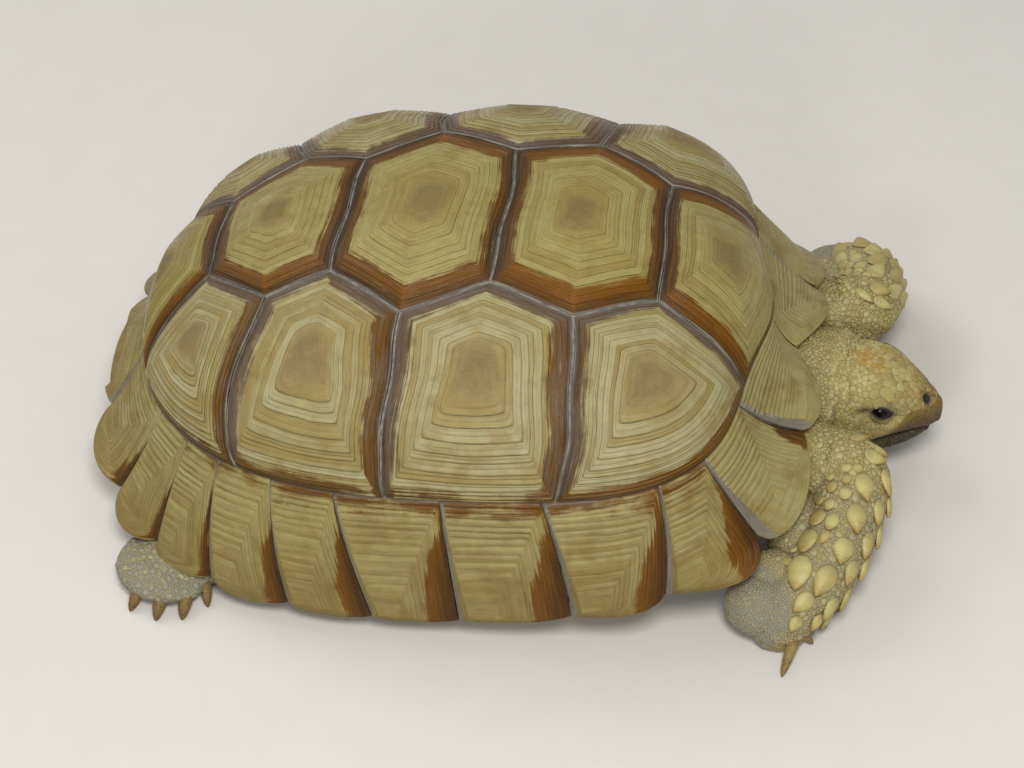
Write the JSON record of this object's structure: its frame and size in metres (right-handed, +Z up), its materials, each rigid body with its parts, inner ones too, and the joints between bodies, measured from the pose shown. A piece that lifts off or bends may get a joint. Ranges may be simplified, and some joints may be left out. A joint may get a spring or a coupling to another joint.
{
  "type": "sulcata tortoise model",
  "caption": "Life-size still model of a sulcata tortoise standing low on spread legs, head forward, with a domed shell of ridged plates, a serrated rim and scaly forelegs.",
  "frame": {"origin": "point on the floor under the top of the dome, in the middle of the belly shield's flat underside", "axes": "+X forward towards the head, +Y to the animal's left, +Z up"},
  "size_m": [0.4263, 0.3001, 0.1618],
  "materials": {
    "shell_plate": "horn plates with fine growth rings, straw to red-brown, low sheen",
    "plastron": "pale straw horn of the belly shield, worn smooth",
    "skin": "dry grey-tan scaly skin with straw scales",
    "beak": "dark brown horn of the beak",
    "eye": "wet black-brown eyeball"
  },
  "bodies": {
    "root": {"vertebral_1": "shell_plate", "vertebral_2": "shell_plate", "vertebral_3": "shell_plate", "vertebral_4": "shell_plate", "vertebral_5": "shell_plate", "costal_l1": "shell_plate", "costal_l2": "shell_plate", "costal_l3": "shell_plate", "costal_l4": "shell_plate", "costal_r1": "shell_plate", "costal_r2": "shell_plate", "costal_r3": "shell_plate", "costal_r4": "shell_plate", "marginal_l1": "shell_plate", "marginal_l2": "shell_plate", "marginal_l3": "shell_plate", "marginal_l4": "shell_plate", "marginal_l5": "shell_plate", "marginal_l6": "shell_plate", "marginal_l7": "shell_plate", "marginal_l8": "shell_plate", "marginal_l9": "shell_plate", "marginal_l10": "shell_plate", "marginal_l11": "shell_plate", "marginal_r1": "shell_plate", "marginal_r2": "shell_plate", "marginal_r3": "shell_plate", "marginal_r4": "shell_plate", "marginal_r5": "shell_plate", "marginal_r6": "shell_plate", "marginal_r7": "shell_plate", "marginal_r8": "shell_plate", "marginal_r9": "shell_plate", "marginal_r10": "shell_plate", "marginal_r11": "shell_plate", "supracaudal": "shell_plate", "plastron": "plastron", "trunk": "skin", "head": "skin", "lower_jaw": "beak", "eye_l": "eye", "eye_r": "eye", "neck": "skin", "leg_fr": "skin", "leg_fl": "skin", "leg_hr": "skin", "leg_hl": "skin", "tail": "skin"}
  },
  "joints": []
}
